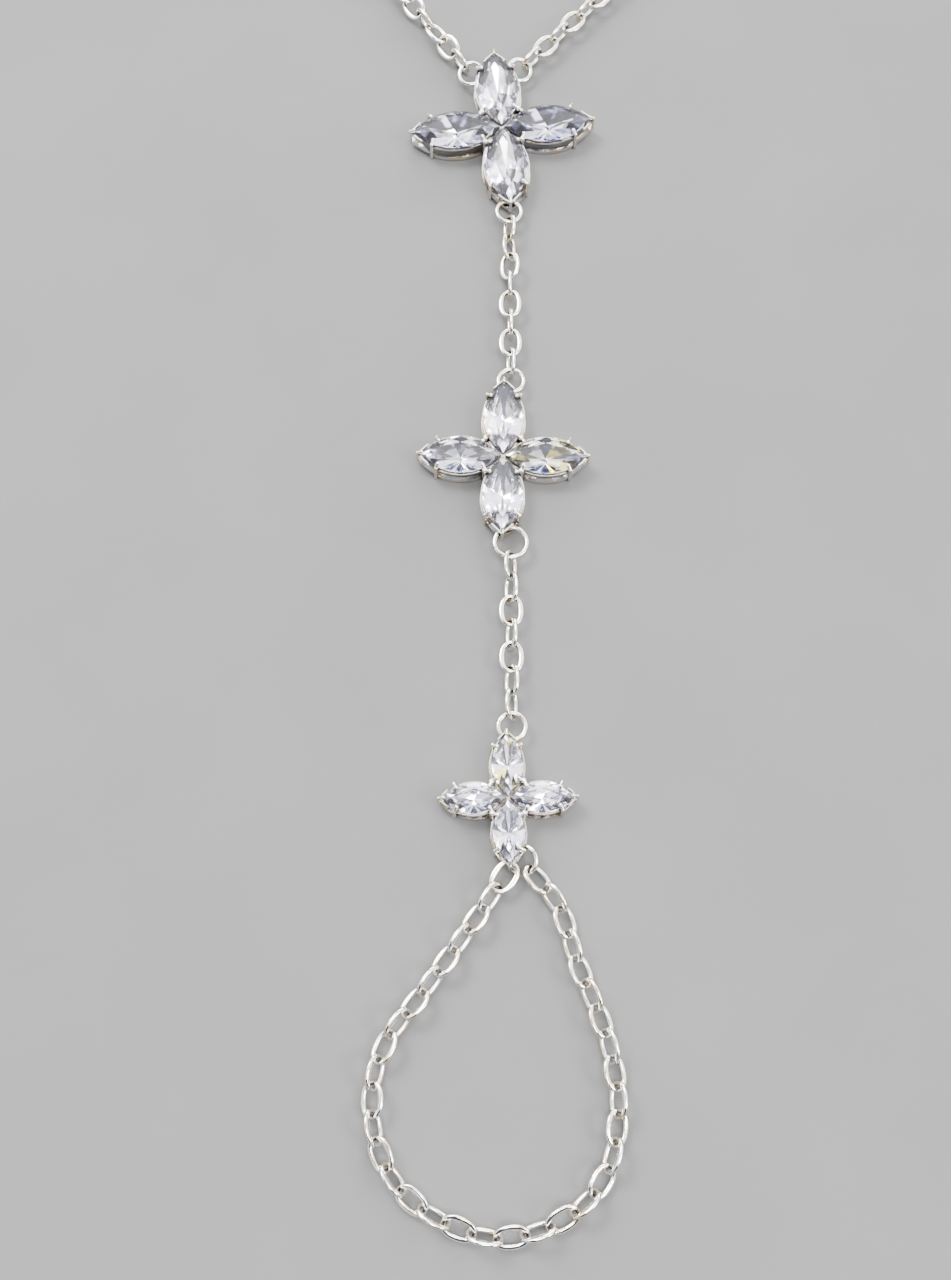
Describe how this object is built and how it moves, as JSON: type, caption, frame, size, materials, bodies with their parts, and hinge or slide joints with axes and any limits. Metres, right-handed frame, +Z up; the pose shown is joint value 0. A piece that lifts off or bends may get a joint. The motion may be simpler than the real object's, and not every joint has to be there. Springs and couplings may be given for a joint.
{
  "type": "hand chain bracelet",
  "caption": "Hand chain bracelet of marquise-stone crosses on fine cable chain, with a finger loop and a wrist chain.",
  "frame": {"origin": "middle of the large flower, on the plane that the back of its setting rests on", "axes": "+Y along the hand from the finger loop to the wrist chain, +X to the right seen from above, +Z up out of the stones"},
  "size_m": [0.052, 0.1648, 0.0025],
  "materials": {
    "silver": "polished",
    "stone": "faceted and polished"
  },
  "bodies": {
    "root": {"setting_large": "silver", "setting_medium": "silver", "setting_small": "silver", "stone_large_top": "stone", "stone_large_right": "stone", "stone_large_bottom": "stone", "stone_large_left": "stone", "stone_medium_top": "stone", "stone_medium_right": "stone", "stone_medium_bottom": "stone", "stone_medium_left": "stone", "stone_small_top": "stone", "stone_small_right": "stone", "stone_small_bottom": "stone", "stone_small_left": "stone", "wrist_ring_left": "silver", "wrist_ring_right": "silver", "large_ring_bottom": "silver", "medium_ring_top": "silver", "medium_ring_bottom": "silver", "small_ring_top": "silver", "finger_ring": "silver", "clasp_ring_left": "silver", "clasp_ring_right": "silver", "upper_chain": "silver", "lower_chain": "silver", "finger_loop": "silver", "wrist_chain_left": "silver", "wrist_chain_right": "silver", "clasp": "silver"}
  },
  "joints": []
}
